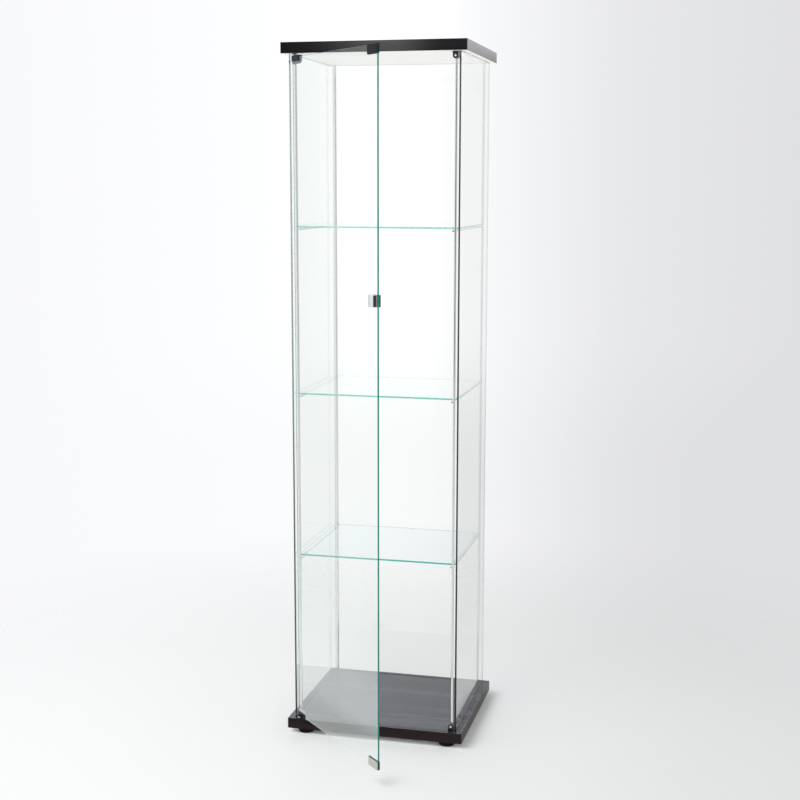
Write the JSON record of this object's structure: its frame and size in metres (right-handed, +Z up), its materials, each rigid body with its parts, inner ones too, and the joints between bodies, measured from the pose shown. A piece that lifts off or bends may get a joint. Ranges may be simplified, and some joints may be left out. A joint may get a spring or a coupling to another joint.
{
  "type": "display case",
  "caption": "Tall glass display case with dark wood-grain base and top boards, glass shelves on metal posts and a frameless pivot-hinged glass door with magnet catches.",
  "frame": {"origin": "on the floor under the middle of the two boards", "axes": "+X to the right seen from the front, +Y to the back, +Z up; the door opens towards -Y"},
  "size_m": [0.43, 0.6294, 1.636],
  "materials": {
    "dark_laminate": "satin wood-grain laminate, pale on the underside of the top board",
    "panel_glass": "clear float glass with ground green edges",
    "shelf_glass": "clear float glass with ground green edges",
    "door_glass": "clear float glass with ground green edges",
    "post_chrome": "polished",
    "rung_chrome": "polished",
    "clear_pad": "clear soft plastic",
    "strip_rubber": "black, flush with the board",
    "foot_plastic": "black",
    "screw_steel": "zinc plated",
    "cap_plastic": "black",
    "bush_plastic": "black",
    "washer_plastic": "natural nylon",
    "catch_plastic": "black",
    "magnet_plating": "nickel plated",
    "clip_black": "gloss black",
    "hinge_pad": "translucent soft plastic",
    "pin_steel": "dark plated",
    "set_screw_steel": "zinc plated",
    "strike_steel": "satin",
    "strike_black": "black plated, satin",
    "strike_rubber": "black",
    "handle_chrome": "polished",
    "handle_rubber": "black"
  },
  "bodies": {
    "case": {"back_glass": "panel_glass", "back_strip_lower": "strip_rubber", "back_strip_upper": "strip_rubber", "base_board": "dark_laminate", "base_screws": "screw_steel", "catch_lower": "catch_plastic", "catch_upper": "catch_plastic", "foot_front_left": "foot_plastic", "foot_front_right": "foot_plastic", "foot_rear_left": "foot_plastic", "foot_rear_right": "foot_plastic", "foot_screws": "screw_steel", "hinge_washer": "washer_plastic", "left_glass": "panel_glass", "left_strip_lower": "strip_rubber", "left_strip_upper": "strip_rubber", "magnet_lower": "magnet_plating", "magnet_upper": "magnet_plating", "pivot_bush_lower": "bush_plastic", "pivot_bush_upper": "bush_plastic", "post_front_left": "post_chrome", "post_front_right": "post_chrome", "post_rear_left": "post_chrome", "post_rear_right": "post_chrome", "right_glass": "panel_glass", "right_strip_lower": "strip_rubber", "right_strip_upper": "strip_rubber", "rung_lower_left": "rung_chrome", "rung_lower_right": "rung_chrome", "rung_middle_left": "rung_chrome", "rung_middle_right": "rung_chrome", "rung_upper_left": "rung_chrome", "rung_upper_right": "rung_chrome", "screw_caps": "cap_plastic", "shelf_lower": "shelf_glass", "shelf_middle": "shelf_glass", "shelf_pads": "clear_pad", "shelf_upper": "shelf_glass", "top_board": "dark_laminate", "top_screws": "screw_steel"},
    "door": {"door_glass": "door_glass", "door_handle": "handle_chrome", "handle_pads": "handle_rubber", "handle_plate": "handle_chrome", "handle_screw": "screw_steel", "hinge_clip_lower": "clip_black", "hinge_clip_upper": "clip_black", "hinge_pad_lower": "hinge_pad", "hinge_pad_upper": "hinge_pad", "hinge_pin_lower": "pin_steel", "hinge_pin_upper": "pin_steel", "hinge_screws": "set_screw_steel", "strike_clip_lower": "strike_steel", "strike_clip_upper": "strike_black", "strike_pad_lower": "strike_rubber", "strike_pad_upper": "strike_rubber"}
  },
  "joints": [
    {"name": "door_swing", "type": "hinge", "parent": "case", "child": "door", "pos_m": [-0.185, -0.175, 0], "axis": [0, 0, -1], "range_deg": [-45, 105]}
  ]
}
